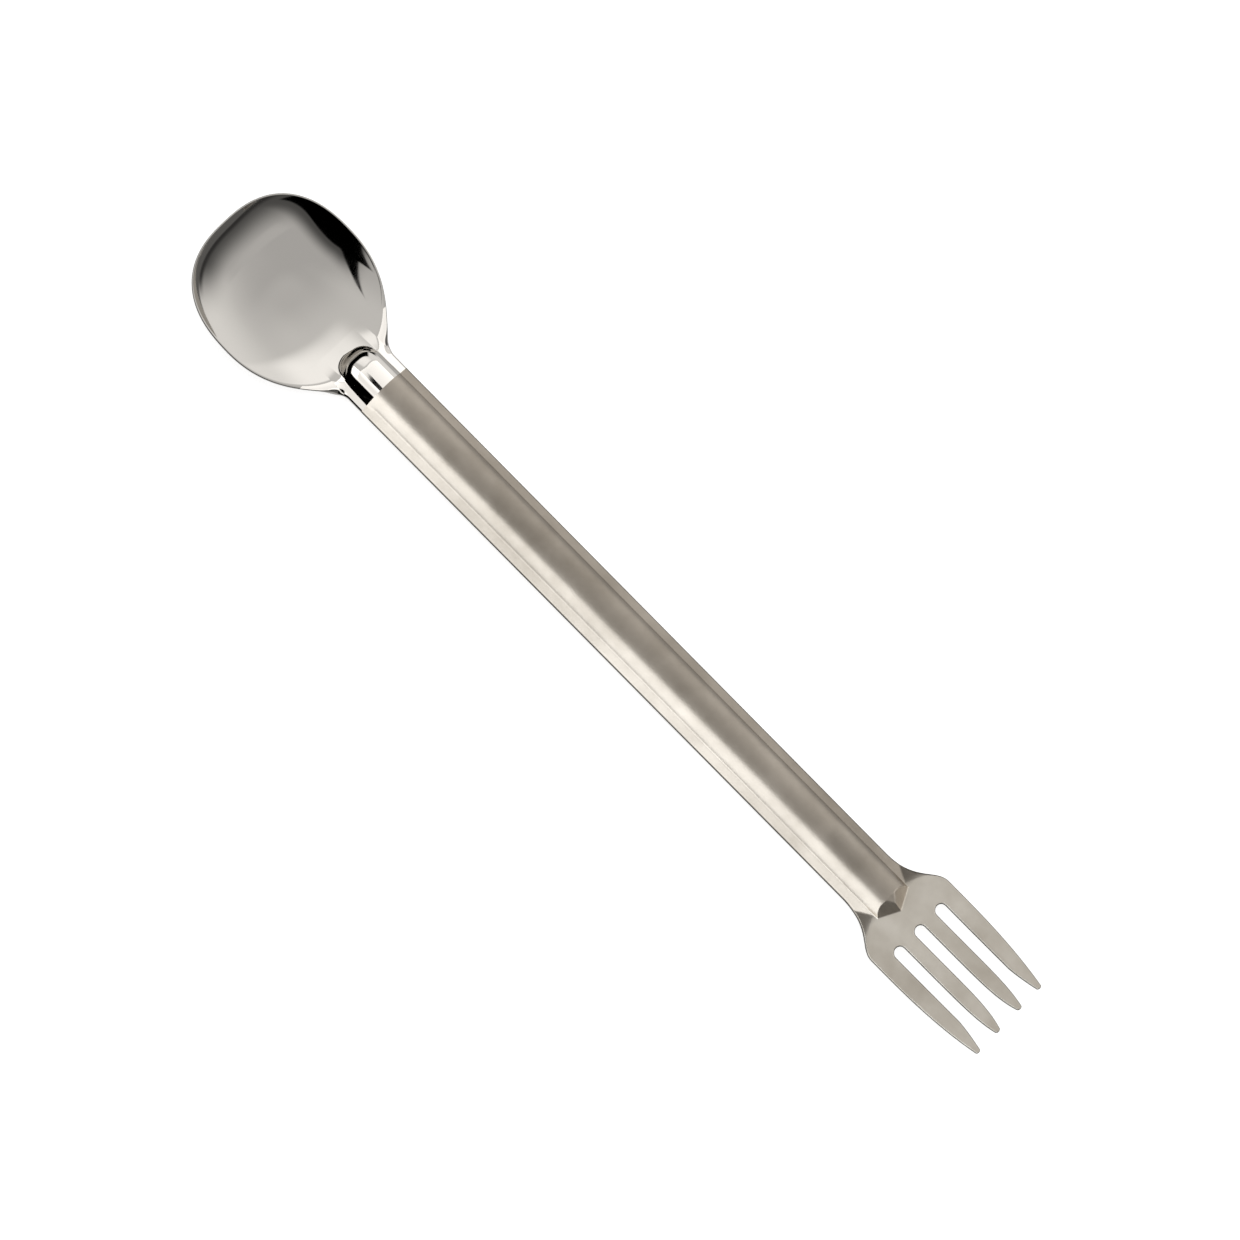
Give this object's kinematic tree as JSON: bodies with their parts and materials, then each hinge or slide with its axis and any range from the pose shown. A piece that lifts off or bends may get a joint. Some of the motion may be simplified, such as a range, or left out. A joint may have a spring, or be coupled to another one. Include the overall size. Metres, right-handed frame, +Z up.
{
  "type": "long-handled spoon and fork",
  "caption": "Long-handled camping utensil pressed from titanium sheet, with a polished spoon bowl at one end and a matte fork at the other.",
  "frame": {"origin": "on the table surface, below the middle of the utensil's length and width", "axes": "+X along the utensil from the bowl's tip to the tines' tips, +Z up out of the bowl's hollow, +Y to the left when looking along +X"},
  "size_m": [0.22, 0.0346, 0.0088],
  "materials": {
    "polished_titanium": "polished",
    "blasted_titanium": "satin"
  },
  "bodies": {
    "root": {"spoon_bowl": "polished_titanium", "spoon_neck": "polished_titanium", "handle": "blasted_titanium", "fork_neck": "blasted_titanium", "fork_palm": "blasted_titanium", "tine_1": "blasted_titanium", "tine_2": "blasted_titanium", "tine_3": "blasted_titanium", "tine_4": "blasted_titanium"}
  },
  "joints": []
}
